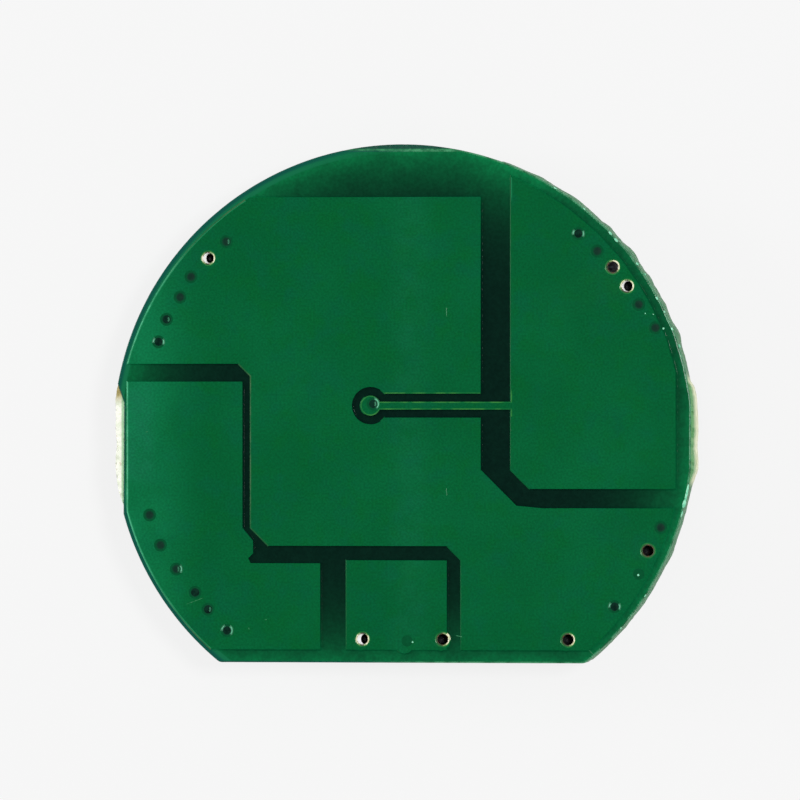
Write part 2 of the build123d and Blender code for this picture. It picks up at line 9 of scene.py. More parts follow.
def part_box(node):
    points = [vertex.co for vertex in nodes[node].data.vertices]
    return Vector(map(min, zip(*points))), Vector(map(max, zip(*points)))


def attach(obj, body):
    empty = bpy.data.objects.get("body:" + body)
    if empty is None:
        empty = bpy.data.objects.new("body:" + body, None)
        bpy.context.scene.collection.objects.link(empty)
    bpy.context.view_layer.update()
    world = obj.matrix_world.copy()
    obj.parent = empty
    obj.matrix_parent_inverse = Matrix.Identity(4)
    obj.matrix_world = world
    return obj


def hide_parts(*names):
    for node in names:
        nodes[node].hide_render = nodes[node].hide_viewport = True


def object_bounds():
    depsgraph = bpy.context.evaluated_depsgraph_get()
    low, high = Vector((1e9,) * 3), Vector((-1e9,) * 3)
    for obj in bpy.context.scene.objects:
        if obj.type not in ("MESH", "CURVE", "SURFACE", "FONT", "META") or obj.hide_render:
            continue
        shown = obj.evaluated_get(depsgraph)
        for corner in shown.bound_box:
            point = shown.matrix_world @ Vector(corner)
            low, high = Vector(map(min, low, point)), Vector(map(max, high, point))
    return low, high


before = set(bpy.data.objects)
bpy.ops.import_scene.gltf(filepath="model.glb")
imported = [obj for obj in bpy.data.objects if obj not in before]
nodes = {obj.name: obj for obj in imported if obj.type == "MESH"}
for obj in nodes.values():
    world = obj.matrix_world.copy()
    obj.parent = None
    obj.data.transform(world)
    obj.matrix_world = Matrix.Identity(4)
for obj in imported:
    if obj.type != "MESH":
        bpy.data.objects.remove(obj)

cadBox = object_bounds()
mm = 0.001
sameLevel = 0.002      # points no further apart than this, in millimetres, count as one level or place
print("frame loaded:", len(nodes), "nodes")


# flat outlines and the meshes made from them, in millimetres

def flatLoops(node, level):
    # closed outlines of a node's level faces at one height, each a list of (x, y)
    mesh = nodes[node].data
    onward = {}      # where the free edges lead from each point
    for face in mesh.polygons:
        corners = [mesh.vertices[i].co / mm for i in face.vertices]
        if all(abs(c.z - level) < sameLevel for c in corners):
            keys = [(round(c.x, 3), round(c.y, 3)) for c in corners]
            for a, b in zip(keys, keys[1:] + keys[:1]):
                if a in onward.get(b, ()):
                    onward[b].remove(a)
                else:
                    onward.setdefault(a, []).append(b)
    loops = []
    for start in list(onward):
        while onward[start]:
            loop, point = [start], onward[start].pop()
            while point != start:
                loop.append(point)
                point = onward[point].pop()
            loops.append(loop)
    return loops


def loopArea(loop):
    return sum(a[0] * b[1] - b[0] * a[1] for a, b in zip(loop, loop[1:] + loop[:1])) / 2


def loopMiddle(loop):
    return (sum(p[0] for p in loop) / len(loop), sum(p[1] for p in loop) / len(loop))


def anticlockwise(loop):
    return loop if loopArea(loop) > 0 else loop[::-1]


def circle(centre, radius, count):
    turns = [2 * math.pi * i / count for i in range(count)]
    return [(centre[0] + radius * math.cos(t), centre[1] + radius * math.sin(t)) for t in turns]


longestChord = 2.5      # a longer edge between two points of a circle is a straight side


def refineLoop(loop, step, centre, radii):
    # long edges are cut up, and the chords of a known circle are bent back on it
    fine = []
    for a, b in zip(loop, loop[1:] + loop[:1]):
        fine.append(a)
        pieces = max(1, math.ceil(math.dist(a, b) / step))
        onCircle = (r for r in radii if math.dist(a, b) < longestChord
                    and all(abs(math.dist(end, centre) - r) < 2 * sameLevel for end in (a, b)))
        arc = next(onCircle, None)
        for i in range(1, pieces):
            t = i / pieces
            x, y = a[0] + (b[0] - a[0]) * t - centre[0], a[1] + (b[1] - a[1]) * t - centre[1]
            k = arc / math.hypot(x, y) if arc else 1
            fine.append((centre[0] + x * k, centre[1] + y * k))
    return fine


def offsetLoop(loop, distance):
    # positive goes to the right of the way round, so out of an anticlockwise outline
    p = np.array(loop)
    before, after = p - np.roll(p, 1, 0), np.roll(p, -1, 0) - p

    def normals(v):
        n = np.stack([v[:, 1], -v[:, 0]], 1)
        return n / np.maximum(np.linalg.norm(n, axis=1, keepdims=True), 1e-9)

    n = normals(before) + normals(after)
    n /= np.maximum((n * n).sum(1, keepdims=True) / 2, 0.35)
    return [tuple(q) for q in p + n * distance]


def insideLoops(points, loops):
    inside = np.zeros(len(points), bool)
    for loop in loops:
        p = np.array(loop)
        for (x1, y1), (x2, y2) in zip(p, np.roll(p, -1, 0)):
            if y1 != y2:
                crosses = (y1 > points[:, 1]) != (y2 > points[:, 1])
                inside ^= crosses & (points[:, 0] < x1 + (points[:, 1] - y1) / (y2 - y1) * (x2 - x1))
    return inside


def distanceTo(points, loops):
    # shortest way from each point to the lines of the loops
    best = np.full(len(points), 1e9)
    for loop in loops:
        p = np.array(loop)
        for a, b in zip(p, np.roll(p, -1, 0)):
            ab = b - a
            t = np.clip(((points - a) @ ab) / max(ab @ ab, 1e-12), 0, 1)
            best = np.minimum(best, np.linalg.norm(points - a - t[:, None] * ab, axis=1))
    return best


def smooth(t):
    t = np.clip(t, 0, 1)
    return t * t * (3 - 2 * t)


def flatSheet(loops, extra=()):
    # every loop becomes an edge of one net of triangles; extra is a list of free points
    points, edges = [], []
    for loop in loops:
        base = len(points)
        points += [Vector(p) for p in loop]
        edges += [(base + i, base + (i + 1) % len(loop)) for i in range(len(loop))]
    points += [Vector(p) for p in extra]
    verts, _, faces, _, _, _ = delaunay_2d_cdt(points, edges, [], 0, 1e-5)
    return np.array([v[:] for v in verts]), faces


def freeEdges(faces):
    # edges that only one face has, in the direction that it goes round
    used = {edge: True for f in faces for edge in zip(f, f[1:] + f[:1])}
    return [edge for edge in used if edge[::-1] not in used]


def thickSheet(name, xy, faces, top, bottom, slots, wallSlot):
    # a net of triangles at two heights, closed by walls along its free edges
    count = len(xy)
    verts = [(x, y, z) for (x, y), z in zip(xy, top)] + [(x, y, z) for (x, y), z in zip(xy, bottom)]
    allFaces = [tuple(f) for f in faces] + [tuple(count + i for i in f[::-1]) for f in faces]
    allSlots = list(slots) + list(slots)
    for a, b in freeEdges(faces):
        allFaces.append((b, a, count + a, count + b))
        allSlots.append(wallSlot)
    return meshFrom(name, verts, allFaces, allSlots)


def meshFrom(name, verts, faces, slots=None):
    mesh = bpy.data.meshes.new(name)
    mesh.from_pydata([tuple(c * mm for c in v) for v in verts], [], faces)
    if slots:
        mesh.polygons.foreach_set("material_index", slots)
    mesh.update()
    return mesh


def spunMesh(name, centre, profile, count, slots=None):
    # a profile of (radius, height), from the outside down and round, spun on a vertical axis
    verts, faces, faceSlots, rows = [], [], [], []
    for radius, height in profile:
        n = count if radius else 1
        rows.append(range(len(verts), len(verts) + n))
        verts += [(x, y, height) for x, y in circle(centre, radius, n)]
    for k, (low, high) in enumerate(zip(rows, rows[1:])):
        for i in range(count):
            j = (i + 1) % count
            corners = [low[i % len(low)], low[j % len(low)], high[j % len(high)], high[i % len(high)]]
            face = tuple(dict.fromkeys(corners))
            if len(face) > 2:
                faces.append(face)
                faceSlots.append(slots[k] if slots else 0)
    return meshFrom(name, verts, faces, faceSlots)


def joinMeshes(name, meshes):
    verts, faces, slots = [], [], []
    for mesh in meshes:
        base = len(verts)
        verts += [tuple(v.co / mm) for v in mesh.vertices]
        faces += [tuple(base + i for i in f.vertices) for f in mesh.polygons]
        slots += [f.material_index for f in mesh.polygons]
        bpy.data.meshes.remove(mesh)
    return meshFrom(name, verts, faces, slots)


def addPiece(name, mesh, materials, replaced, sharpAngle=35):
    piece = bpy.data.objects.new(name, mesh)
    bpy.context.scene.collection.objects.link(piece)
    for material in materials:
        mesh.materials.append(material)
    mesh.polygons.foreach_set("use_smooth", [True] * len(mesh.polygons))
    mesh.set_sharp_from_angle(angle=math.radians(sharpAngle))
    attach(piece, "root")
    if replaced:
        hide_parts(*replaced)
    return piece


# materials

def colour(r, g, b):
    # a screen colour of 0 to 255, as the linear light that a shader takes
    return tuple((c / 255 / 12.92 if c <= 10 else ((c / 255 + 0.055) / 1.055) ** 2.4)
                 for c in (r, g, b)) + (1,)


class Finish:
    # a node material, with short names for the few nodes that these finishes need
    def __init__(self, name):
        self.material = bpy.data.materials.new(name)
        self.material.use_nodes = True
        self.tree = self.material.node_tree
        self.surface = self.tree.nodes["Principled BSDF"]
        self.place = self.tree.nodes.new("ShaderNodeTexCoord").outputs["Object"]
        split = self.add("SeparateXYZ", {0: self.place})
        self.x, self.y, self.z = split.outputs

    def add(self, kind, inputs=(), **settings):
        node = self.tree.nodes.new("ShaderNode" + kind)
        for key, value in settings.items():
            setattr(node, key, value)
        for key, value in dict(inputs).items():
            self.plug(node.inputs[key], value)
        return node

    def plug(self, socket, value):
        if isinstance(value, bpy.types.NodeSocket):
            self.tree.links.new(value, socket)
        else:
            socket.default_value = value

    def done(self, base, roughness, gloss=0.5, relief=None, metallic=0.0):
        # relief is a height of 0 to 1 and the millimetres that it stands for
        for name, value in (("Base Color", base), ("Roughness", roughness),
                            ("Specular IOR Level", gloss), ("Metallic", metallic)):
            self.plug(self.surface.inputs[name], value)
        if relief:
            bump = self.add("Bump", {"Height": relief[0], "Distance": relief[1] * mm})
            self.plug(self.surface.inputs["Normal"], bump.outputs["Normal"])
        return self.material

    def math(self, operation, a, b=0.0, clamp=False):
        return self.add("Math", {0: a, 1: b}, operation=operation, use_clamp=clamp).outputs[0]

    def times(self, a, b):
        return self.math("MULTIPLY", a, b, True)

    def noise(self, size, detail=2.0, rough=0.5, stretch=None, shift=0.0):
        # size is the width of one blotch in millimetres
        where = self.place
        if stretch or shift:
            where = self.add("Mapping", {"Vector": where, "Location": (shift,) * 3,
                                         "Scale": stretch or (1, 1, 1)}).outputs[0]
        return self.add("TexNoise", {"Vector": where, "Scale": 1 / (size * mm), "Detail": detail,
                                     "Roughness": rough}).outputs["Fac"]

    def ramp(self, value, low, high, outLow=0.0, outHigh=1.0):
        return self.add("MapRange", {"Value": value, "From Min": low, "From Max": high,
                                     "To Min": outLow, "To Max": outHigh},
                        interpolation_type="SMOOTHSTEP").outputs["Result"]

    def span(self, value, low, high, outLow=0.0, outHigh=1.0):
        # a ramp along a length given in millimetres
        return self.ramp(value, low * mm, high * mm, outLow, outHigh)

    def mix(self, factor, a, b, blend="MIX"):
        node = self.add("Mix", data_type="RGBA", blend_type=blend)
        for name, value in (("Factor", factor), ("A", a), ("B", b)):
            self.plug([s for s in node.inputs if s.name == name and s.enabled][0], value)
        return [s for s in node.outputs if s.enabled][0]

    def shade(self, base, low, high, size, detail=3):
        # the base made lighter and darker in blotches
        grey = self.ramp(self.noise(size, detail), 0.3, 0.7, low, high)
        return self.mix(1.0, base, self.add("CombineColor", {0: grey, 1: grey, 2: grey}).outputs[0],
                        "MULTIPLY")


# sizes and names read from the frame, in millimetres

def boxOf(node):
    return [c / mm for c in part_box(node)]


def pieceName(node):
    first, *rest = node.split("_")
    return first + "".join(word.capitalize() for word in rest)


maskHigh = boxOf("track_side_mask")[1]
laminateLow, laminateHigh = boxOf("laminate")
copperTop = boxOf("positive_pour")[1].z
partCopper = boxOf("upper_drain_land")[0].z
partMask = boxOf("part_side_mask")[0].z
laminateTop, laminateBottom = laminateHigh.z, laminateLow.z
boardSize = {"radius": 13.0, "bottom": laminateLow.y, "maskThickness": maskHigh.z - copperTop}
holeSize = {"drilled": 0.275, "opening": 0.345, "sides": 32}
smallArea, boardArea = 0.3, 300      # outlines are holes below the first and the board above the second

islandNames = ["positive_pour", "cell_negative_pour", "pack_negative_pour", "mid_tap_pour"]
islandLoops = [loop for name in islandNames for loop in flatLoops(name, copperTop)]
viaCentres = [loopMiddle(loop) for loop in islandLoops if abs(loopArea(loop)) < smallArea]
islandLoops = [anticlockwise(loop) for loop in islandLoops if abs(loopArea(loop)) > smallArea]
maskPoints = [v.co / mm for v in nodes["track_side_mask"].data.vertices]
maskPoints = [(p.x, p.y) for p in maskPoints if abs(p.z - maskHigh.z) < sameLevel]


def hasOpening(centre):
    # True where the mask of the track side leaves a ring bare round a hole
    return sum(abs(math.dist(centre, p) - holeSize["opening"]) < 0.003 for p in maskPoints) > 5


openCentres = [c for c in viaCentres if hasOpening(c)]
closedCentres = [c for c in viaCentres if c not in openCentres]
print("holes:", len(viaCentres), "bare rings:", len(openCentres))


# camera, light and floor

view = {
    "tilt": 7.0,
    "lens": 400,
    "sensor": 36,
    "frameWidth": 35.62 * mm,
    "aimX": -0.064 * mm,
    "aimY": 1.611 * mm,
}
paper = {"light": 0.921, "grey": 0.97, "glow": 0.9, "size": 4.0, "gap": 0.02}      # the background
lamps = {
    "key": {"from": (0.19, 0.06, 0.42), "size": 0.09, "watts": 1.06},
    "left": {"from": (-0.42, 0.08, 0.14), "size": 0.14, "watts": 0.86},
}
tent = {"strength": 0.43, "horizon": 1.0, "zenith": 0.0, "darkFrom": 0.9}


def placeCamera():
    camera = bpy.data.cameras.new("camera")
    camera.lens = view["lens"]
    camera.sensor_width = view["sensor"]
    distance = view["frameWidth"] * view["lens"] / camera.sensor_width
    camera.clip_start, camera.clip_end = distance / 50, distance * 20
    tilt = math.radians(view["tilt"])
    rig = bpy.data.objects.new("camera", camera)
    rig.location = (view["aimX"] + distance * math.sin(tilt), view["aimY"], distance * math.cos(tilt))
    rig.rotation_euler = (0, tilt, 0)
    bpy.context.scene.collection.objects.link(rig)
    bpy.context.scene.camera = rig


def placeLamps():
    for name, lamp in lamps.items():
        data = bpy.data.lights.new(name, "AREA")
        data.size = lamp["size"]
        data.energy = lamp["watts"]
        rig = bpy.data.objects.new(name, data)
        rig.location = lamp["from"]
        rig.rotation_euler = (-Vector(lamp["from"])).to_track_quat("-Z", "Y").to_euler()
        bpy.context.scene.collection.objects.link(rig)


def makeTent():
    # even light for the object, a bright horizon and dark top for its gloss, pale for the camera
    world = bpy.data.worlds.new("lightTent")
    bpy.context.scene.world = world
    world.use_nodes = True
    tree = world.node_tree
    tree.nodes.clear()

    def make(kind):
        return tree.nodes.new("ShaderNode" + kind)

    output, path = make("OutputWorld"), make("LightPath")
    light, shown, gloss = (make("Background") for _ in range(3))
    light.inputs["Color"].default_value = (1, 1, 1, 1)
    light.inputs["Strength"].default_value = tent["strength"]
    shown.inputs["Color"].default_value = (paper["light"],) * 3 + (1,)
    where, split, fade = make("TexCoord"), make("SeparateXYZ"), make("MapRange")
    tree.links.new(where.outputs["Generated"], split.inputs[0])
    tree.links.new(split.outputs["Z"], fade.inputs["Value"])
    for key, value in (("From Min", 0.0), ("From Max", tent["darkFrom"]),
                       ("To Min", tent["horizon"]), ("To Max", tent["zenith"])):
        fade.inputs[key].default_value = value
    tree.links.new(fade.outputs["Result"], gloss.inputs["Strength"])
    first, second = make("MixShader"), make("MixShader")
    for socket, source in ((first.inputs[0], path.outputs["Is Glossy Ray"]),
                           (first.inputs[1], light.outputs[0]), (first.inputs[2], gloss.outputs[0]),
                           (second.inputs[0], path.outputs["Is Camera Ray"]),
                           (second.inputs[1], first.outputs[0]), (second.inputs[2], shown.outputs[0]),
                           (output.inputs[0], second.outputs[0])):
        tree.links.new(source, socket)


def makeFloor():
    # pale paper, clear when seen from underneath
    level, size = cadBox[0].z - paper["gap"] * mm, paper["size"]
    mesh = bpy.data.meshes.new("floor")
    mesh.from_pydata([(-size, -size, level), (size, -size, level), (size, size, level),
                      (-size, size, level)], [], [(0, 1, 2, 3)])
    floor = bpy.data.objects.new("floor", mesh)
    bpy.context.scene.collection.objects.link(floor)
    s = Finish("floorPaper")
    s.done((paper["grey"],) * 3 + (1,), 0.9, 0.0)
    plain = s.surface.outputs[0]
    glow = s.add("Emission", {"Color": (paper["light"],) * 3 + (1,), "Strength": 1.0})
    mixed = s.add("MixShader", {0: paper["glow"], 1: plain, 2: glow.outputs[0]})
    lit = s.add("MixShader", {0: s.add("LightPath").outputs["Is Camera Ray"], 1: plain,
                              2: mixed.outputs[0]})
    clear = s.add("MixShader", {0: s.add("NewGeometry").outputs["Backfacing"], 1: lit.outputs[0],
                                2: s.add("BsdfTransparent").outputs[0]})
    s.tree.links.new(clear.outputs[0], s.tree.nodes["Material Output"].inputs[0])
    mesh.materials.append(s.material)


placeCamera()
placeLamps()
makeTent()
makeFloor()
bpy.context.scene.view_settings.view_transform = "Standard"
print("camera, light and floor placed")


# finishes of the solder mask

maskFinish = {
    "copper": colour(4, 92, 49),
    "copperPale": colour(10, 112, 66),
    "warm": colour(5, 95, 42),
    "cool": colour(6, 92, 60),
    "copperLeft": colour(14, 120, 74),
    "haze": colour(22, 112, 78),
    "laminate": colour(6, 32, 25),
    "laminateEdge": colour(9, 122, 69),
    "weave": colour(10, 46, 33),
    # teal bands towards the left rim, painted shade on the side away from the key lamp
    "rimBand": colour(14, 84, 70),
    "rimInside": colour(20, 110, 72),
    "rimShade": colour(22, 96, 58),
    # pale glints painted on the rim's right corner
    "rimCorner": colour(74, 150, 108),
    "mint": colour(74, 176, 130),
    "tanLine": colour(62, 106, 68),
    "glowLength": 1.15,
    "glossy": (0.2, 0.12),      # roughness and specular level
    "shoulder": (0.5, 0.0),
}
# blotches of other greens over the copper: colour, width, detail, low, high, strength, shift
copperBlotches = [
    ("copperPale", 6.0, 3, 0.35, 0.70, 0.3, 0.0),
    ("warm", 1.1, 4, 0.46, 0.68, 0.5, 3.0),
    ("cool", 1.3, 4, 0.48, 0.70, 0.55, 7.0),
]
# small patches of the mask: two shades, width of a blotch, roughness, specular level
maskTints = {
    "resinDark": (colour(6, 34, 26), colour(14, 50, 38), 0.2, 0.22, 0.2),
    "resinDim": (colour(13, 48, 36), colour(17, 54, 40), 0.25, 0.4, 0.1),
    "resinMid": (colour(12, 60, 40), colour(14, 66, 44), 0.25, 0.5, 0.05),
    "resinEdge": (colour(9, 78, 45), colour(11, 84, 49), 0.2, 0.8, 0.0),
    "resinShine": (colour(66, 132, 100), colour(46, 108, 80), 0.2, 0.5, 0.05),
    "softCorner": (colour(20, 124, 78), colour(34, 138, 92), 0.9, 0.3, 0.1),
    "thinMask": (colour(12, 104, 52), colour(40, 128, 60), 0.3, 0.22, 0.2),
    "trackEdge": (colour(14, 106, 54), colour(58, 134, 62), 0.5, 0.22, 0.2),
    "glintMask": (colour(112, 196, 154), colour(110, 196, 156), 0.15, 0.22, 0.2),
    "beadInk": (colour(160, 236, 200), colour(120, 214, 172), 0.15, 0.22, 0.2),
    "scuffedMask": (colour(70, 138, 100), colour(34, 116, 72), 0.12, 0.22, 0.2),
}


def makeMaskOverCopper(name, roughness, gloss):
    s = Finish(name)
    base = maskFinish["copper"]
    for tone, size, detail, low, high, strength, shift in copperBlotches:
        blotch = s.ramp(s.noise(size, detail, 0.6, shift=shift), low, high, 0.0, strength)
        base = s.mix(blotch, base, maskFinish[tone])
    # paler along the left rim as painted light from the left, and hazy in a stripe down the middle and at the
    # left tab
    left = s.times(s.span(s.x, -8.6, -12.6), s.ramp(s.noise(2.2, 4, shift=5.0), 0.3, 0.62, 0.5, 1.0))
    base = s.mix(left, base, maskFinish["copperLeft"])
    stripe = s.times(s.span(s.x, -0.9, 0.2), s.span(s.x, 1.7, 0.5))
    edge = s.times(s.span(s.x, -10.9, -11.5), s.times(s.span(s.y, -2.6, -1.2), s.span(s.y, 3.4, 2.2)))
    haze = s.times(s.math("ADD", s.times(stripe, 0.2), s.times(edge, 0.6)),
                   s.ramp(s.noise(1.0, 4, 0.65, shift=9.0), 0.35, 0.62, 0.2, 1.0))
    base = s.mix(haze, base, maskFinish["haze"])
    return s.done(s.shade(base, 0.87, 1.13, 0.09), roughness, gloss, (s.noise(0.5, 2), 0.004))


def makeMaskOverLaminate(name, roughness, gloss):
    # light that enters at the rim makes the bare laminate glow under the mask, most at the round end
    s = Finish(name)
    squares = [s.math("MULTIPLY", side, side) for side in (s.x, s.y)]
    toRim = s.math("SUBTRACT", boardSize["radius"] * mm, s.math("SQRT", s.math("ADD", *squares)))
    toBottom = s.math("SUBTRACT", s.y, (boardSize["bottom"] - 0.15) * mm)
    near = s.math("DIVIDE", s.math("MINIMUM", toRim, toBottom), -maskFinish["glowLength"] * mm)
    glow = s.math("POWER", math.e, near, True)
    glow = s.times(glow, s.span(s.y, -10, 12, 0.80, 1.0))
    shaded = s.times(s.span(s.x, 5.5, 8.5), s.span(s.y, -2, 3))      # darker at the upper right
    glow = s.times(glow, s.math("SUBTRACT", 1.0, s.times(shaded, 0.42)))
    glow = s.times(glow, s.ramp(s.noise(1.6, 3), 0.25, 0.75, 0.85, 1.15))
    base = s.mix(glow, maskFinish["laminate"], maskFinish["laminateEdge"])
    base = s.mix(s.ramp(s.noise(0.5, 2, shift=5.0), 0.35, 0.7, 0.0, 0.18), base, maskFinish["weave"])
    base = s.shade(base, 0.88, 1.12, 0.12)
    # on the left side the mask is painted teal towards the rim as shade: a soft inner band and a darker outer
    # band
    shadedSide = s.span(s.x, 1, -5)
    base = s.mix(s.times(s.span(toRim, 0.42, 0.34), shadedSide), base, maskFinish["rimInside"])
    base = s.mix(s.times(s.span(toRim, 0.26, 0.10), shadedSide), base, maskFinish["rimBand"])
    return s.done(base, roughness, gloss, (s.noise(0.4, 2), 0.005))


def makeMaskTint(name):
    first, second, size, roughness, gloss = maskTints[name]
    s = Finish(name)
    base = s.mix(s.ramp(s.noise(size, 3), 0.35, 0.65), first, second)
    return s.done(base, roughness, gloss, (s.noise(size * 2, 2), 0.003))


def makeCornerMask():
    # where the mask is drawn thin over a left-facing copper edge it is pale, most of all along the left rim:
    # partly the thin mask, partly a painted highlight from the lamp on the left
    s = Finish("cornerMask")
    near = s.span(s.x, -8.5, -11.5)
    fade = s.times(s.span(s.y, -8, -3, 0.35, 1.0), s.span(s.y, 10, 5, 0.3, 1.0))
    highlightPatches = s.ramp(s.noise(0.9, 4, 0.6), 0.35, 0.6, 0.45, 1.0)
    mint = s.mix(s.times(fade, highlightPatches), maskFinish["copperLeft"], maskFinish["mint"])
    # further in, the band is a tan line, also a painted highlight on left-facing edges
    inner = s.times(s.ramp(s.noise(0.7, 4), 0.38, 0.62, 0.3, 1.0), s.span(s.x, -5.6, -6.6))
    tan = s.mix(inner, maskFinish["copper"], maskFinish["tanLine"])
    return s.done(s.mix(near, tan, mint), 0.3, 0.1)


def makeRimCorner():
    # the mask's outer corner: on the right, where it turns down, pale patches painted as glints of the key
    # lamp; on the left, a dark band painted as shade
    s = Finish("rimCorner")
    glintPatches = s.ramp(s.noise(0.45, 4, 0.6), 0.34, 0.6)
    right = s.mix(glintPatches, maskFinish["rimShade"], maskFinish["rimCorner"])
    base = s.mix(s.span(s.x, -3, 2), maskFinish["rimBand"], right)
    return s.done(base, 0.25, 0.25, (s.noise(0.2, 3), 0.008))


# every finish of a mask, in the order of the slots that its faces take
skinFinishes = [
    makeMaskOverCopper("maskOverCopper", *maskFinish["glossy"]),
    makeMaskOverLaminate("maskOverLaminate", *maskFinish["glossy"]),
    makeMaskOverCopper("shoulderCopper", *maskFinish["shoulder"]),
    makeMaskOverLaminate("shoulderMask", *maskFinish["shoulder"]),
    makeCornerMask(),
    makeRimCorner(),
] + [makeMaskTint(name) for name in maskTints if name not in ("beadInk", "scuffedMask")]
skinSlot = {material.name: i for i, material in enumerate(skinFinishes)}
print("mask finishes made:", len(skinFinishes))


# rim of the board, shared by the laminate and the mask on it

rimShape = {
    "step": 0.07,
    "rings": [0.0, 0.10, 0.20, 0.30],      # lines that follow the edge on the laminate's faces
    "rows": 8,
    "fine": 0.010,
    "wave": 0.03,
    "flare": 0.035,
    "tabFlare": 0.05,
    "tabAngle": 11,
    "waveLength": 1.1,
    # bulges of the routed edge: angle in degrees, height in millimetres, half width in degrees
    "bulges": [(62, 0.03, 3.0), (54, 0.04, 3.0), (45.4, 0.07, 2.3), (38.8, 0.09, 2.7), (32.8, 0.045, 1.7),
               (26.4, 0.05, 1.9), (20.4, 0.09, 2.8), (-24, 0.03, 3.0), (-36, 0.03, 2.5)],
}


def rimPush(x, y, depth):
    # how far the routed edge stands in or out, in millimetres, at a share of the board's depth
    angle = math.degrees(math.atan2(y, x))
    rough = 1.0 if -45 < angle < 70 else 0.3      # the right side is cut rougher than the rest
    wave = rimShape["wave"] * rough * noise.noise((x / rimShape["waveLength"] + 7,
                                                   y / rimShape["waveLength"], depth * 0.4))
    for middle, height, width in rimShape["bulges"]:
        wave += height * max(0.0, 1 - ((angle - middle) / width) ** 2) ** 2
    if -50 < angle < 70:
        wave += rimShape["flare"] * min(1, 3 * depth)
    if abs(angle) < rimShape["tabAngle"]:
        share = 1 - (angle / rimShape["tabAngle"]) ** 4
        wave += rimShape["tabFlare"] * min(1, 3 * depth) * share
    fine = noise.noise((x * 5, y * 5, depth * 6)) + 0.5 * noise.noise((x * 14, y * 14, depth * 16))
    return wave * (0.3 + 0.7 * min(1, 4 * depth)) \
        + rimShape["fine"] * rough * fine * (0.5 + min(1, 3 * depth))


def roughRim(x, y, depth, reach=0.9):
    # moves a point near the rim in or out with it
    radius = math.hypot(x, y)
    if y < boardSize["bottom"] + 0.05:
        return x, y + 0.5 * rimPush(x, y, depth)
    if radius < boardSize["radius"] - reach:
        return x, y
    push = rimPush(x, y, depth) * min(1, (radius - boardSize["radius"] + reach) / (reach - 0.4))
    return x * (1 + push / radius), y * (1 + push / radius)


def outlineOf(node, level):
    loop = anticlockwise(max(flatLoops(node, level), key=lambda p: abs(loopArea(p))))
    return refineLoop(loop, rimShape["step"], (0, 0), [boardSize["radius"]])


# laminate, with the broken fibres of its tabs

tabs = {
    "left": -12.46,      # x or y that each broken edge starts at
    "right": 12.62,
    "top": 12.60,
    "ragged": 0.22,
    "reach": 0.35,
}
laminateFinish = {
    "glass": colour(252, 254, 240),
    "glassShade": colour(236, 242, 220),
    "tan": colour(180, 166, 110),
    "leftGreen": colour(132, 190, 136),
    "spot": colour(196, 168, 150),
    "outline": colour(140, 146, 130),
    "yellow": colour(190, 202, 130),
    "cream": colour(246, 248, 214),
    "stain": colour(84, 160, 98),
    "stubDark": colour(26, 120, 74),
    "stubPale": colour(70, 160, 104),
    "stubWall": colour(12, 78, 60),
    "rim": colour(52, 120, 80),
    "rimPale": colour(88, 154, 110),
    "rimTan": colour(118, 138, 94),
}


def makeLaminateFinish():
    s, look = Finish("glassFibre"), laminateFinish
    fibres = s.noise(0.16, 4, 0.7, (1, 1, 2.5))
    layers = s.noise(0.5, 4, 0.65, (0.45, 0.45, 6.5))
    depth = s.span(s.z, laminateTop, laminateBottom)
    rim = s.mix(s.ramp(layers, 0.40, 0.62), look["rim"], look["rimPale"])
    tanned = s.times(s.ramp(s.noise(0.7, 4, 0.6, (0.6, 0.6, 2.5), 2.0), 0.42, 0.66),
                     s.math("ADD", s.times(depth, 0.5), 0.1))
    rim = s.mix(tanned, rim, look["rimTan"])
    # the left tab is white with small brownish spots, tan at its upper end and grey on its wall
    white = s.mix(s.ramp(s.noise(0.3, 4, 0.6), 0.4, 0.62), look["glass"], look["glassShade"])
    white = s.mix(s.ramp(s.noise(0.32, 3, 0.6, shift=1.0), 0.60, 0.72), white, look["spot"])
    tanEnd = s.times(s.span(s.y, 1.4, 1.9), s.ramp(s.noise(0.7, 3), 0.35, 0.5))
    white = s.mix(tanEnd, white, look["tan"])
    white = s.mix(s.span(s.x, -12.68, -12.57, 0.0, 0.8), white, look["leftGreen"])
    white = s.mix(s.span(s.z, laminateTop - 0.12, laminateTop - 0.26), white, look["outline"])
    # the right tab is cream where its fibres stand up, and green where the mask has run over it
    strands = s.noise(0.45, 4, 0.65, (0.7, 0.5, 2.5))
    cream = s.mix(s.ramp(strands, 0.32, 0.5), look["yellow"], look["cream"])
    tanned = s.ramp(s.noise(0.7, 3, 0.6, (0.6, 0.6, 3), 4.0), 0.5, 0.7, 0.0, 0.35)
    cream = s.mix(tanned, cream, look["tan"])
    cream = s.mix(s.span(s.z, laminateTop - 0.7, laminateTop + 0.05), cream, look["stain"])
    # the top tab's stub is mottled green, darker at its wall
    stub = s.mix(s.ramp(s.noise(0.35, 4, 0.6), 0.38, 0.6), look["stubDark"], look["stubPale"])
    stub = s.mix(s.span(s.y, 12.74, 12.84), stub, look["stubWall"])
    rightTab = s.times(s.span(s.x, 12.5, 12.7), s.times(s.span(s.y, -2.3, -1.9), s.span(s.y, 2.9, 2.3)))
    base = s.mix(s.span(s.x, tabs["left"] + 0.14, tabs["left"] - 0.06), rim, white)
    base = s.mix(rightTab, base, cream)
    base = s.mix(s.span(s.y, 12.45, 12.6), base, stub)
    return s.done(base, s.ramp(fibres, 0.35, 0.65, 0.35, 0.7), 0.25, (fibres, 0.012))


def raggedDrop(x, y, toEdge):
    # how far the broken fibres of a tab lie under the laminate's top
    inTab = x < tabs["left"] + 0.02 or x > tabs["right"] or y > tabs["top"]
    if not inTab or toEdge >= tabs["reach"]:
        return 0.0
    drop = 0.5 + 0.5 * noise.noise((x * 4, y * 4, 1.0)) + 0.35 * noise.noise((x * 11, y * 11, 2.0))
    return tabs["ragged"] * max(0.0, drop) * (1 - toEdge / 0.4)


